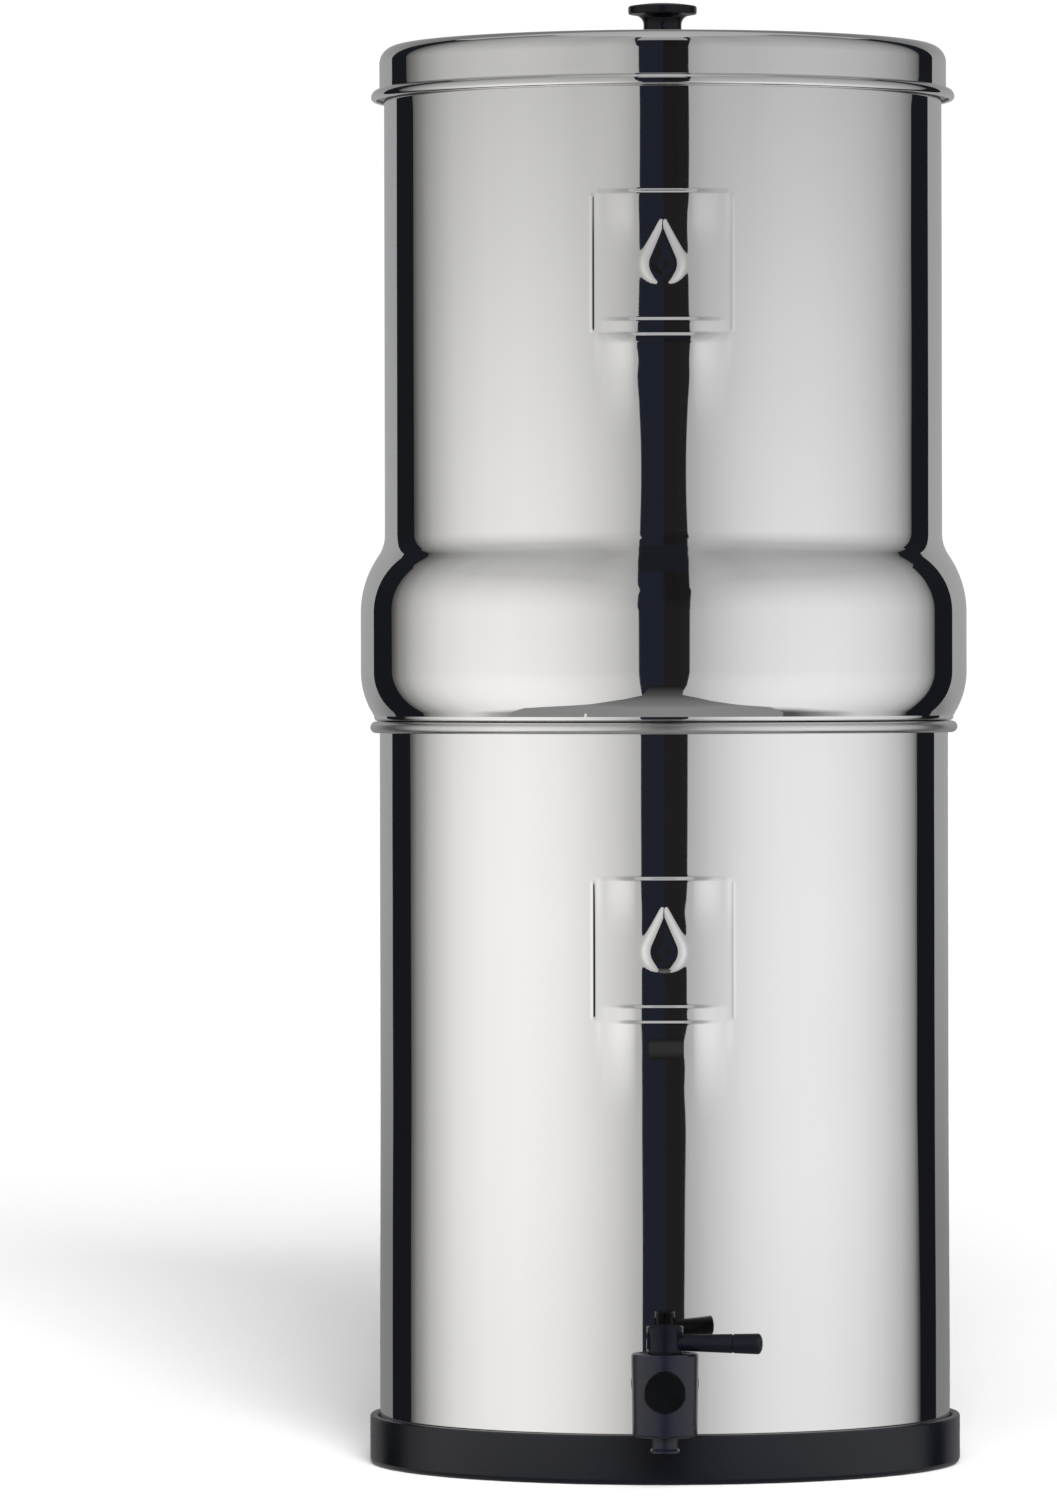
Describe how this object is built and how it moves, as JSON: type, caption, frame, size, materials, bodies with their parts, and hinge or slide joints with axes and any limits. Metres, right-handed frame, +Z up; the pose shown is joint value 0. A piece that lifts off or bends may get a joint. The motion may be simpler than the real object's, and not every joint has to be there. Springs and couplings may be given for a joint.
{
  "type": "gravity water filter",
  "caption": "Stacked cylindrical steel gravity water filter: an upper chamber with ceramic candles drains into a lower one with a quarter-turn lever tap; loose lid with knob, soft base ring.",
  "frame": {"origin": "centre of the base ring's foot, on the surface that the filter stands on", "axes": "+Z up along the chambers' common axis; -Y towards the tap; +X to the right of someone facing the tap"},
  "size_m": [0.2299, 0.2783, 0.5534],
  "materials": {
    "polished_steel": "polished",
    "bright_fastener": "satin",
    "satin_black_plastic": "satin",
    "black_plastic_nut": "satin",
    "black_rubber": "satin",
    "seal_rubber": "matte",
    "pale_plastic": "satin",
    "white_ceramic": "matte",
    "carbon_block": "matte"
  },
  "bodies": {
    "lower_unit": {"lower_chamber": "polished_steel", "base_ring": "black_rubber", "tap_body": "satin_black_plastic", "tap_front_cap": "satin_black_plastic", "tap_outer_washer": "seal_rubber", "tap_inner_washer": "seal_rubber", "tap_lock_nut": "black_plastic_nut", "tap_bonnet": "satin_black_plastic"},
    "upper_unit": {"upper_chamber": "polished_steel", "candle_1_ceramic_shell": "white_ceramic", "candle_2_ceramic_shell": "white_ceramic", "candle_3_ceramic_shell": "white_ceramic", "candle_4_ceramic_shell": "white_ceramic", "candle_1_carbon_core": "carbon_block", "candle_2_carbon_core": "carbon_block", "candle_3_carbon_core": "carbon_block", "candle_4_carbon_core": "carbon_block", "candle_1_base": "pale_plastic", "candle_2_base": "pale_plastic", "candle_3_base": "pale_plastic", "candle_4_base": "pale_plastic", "candle_washers": "seal_rubber", "candle_wing_nuts": "pale_plastic"},
    "lid_unit": {"lid": "polished_steel", "lid_knob": "satin_black_plastic", "knob_washer": "bright_fastener", "knob_screw": "bright_fastener"},
    "tap_handle": {"tap_lever": "satin_black_plastic", "tap_valve_plug": "satin_black_plastic", "tap_o_rings": "seal_rubber"}
  },
  "joints": [
    {"name": "upper_chamber_lift", "type": "slide", "parent": "lower_unit", "child": "upper_unit", "axis": [0, 0, 1], "range_m": [0, 0.15]},
    {"name": "lid_lift", "type": "slide", "parent": "upper_unit", "child": "lid_unit", "axis": [0, 0, 1], "range_m": [0, 0.12]},
    {"name": "tap_turn", "type": "hinge", "parent": "lower_unit", "child": "tap_handle", "pos_m": [0, -0.1511, 0.05165], "axis": [0, 0, 1], "range_deg": [-78, 12]}
  ]
}
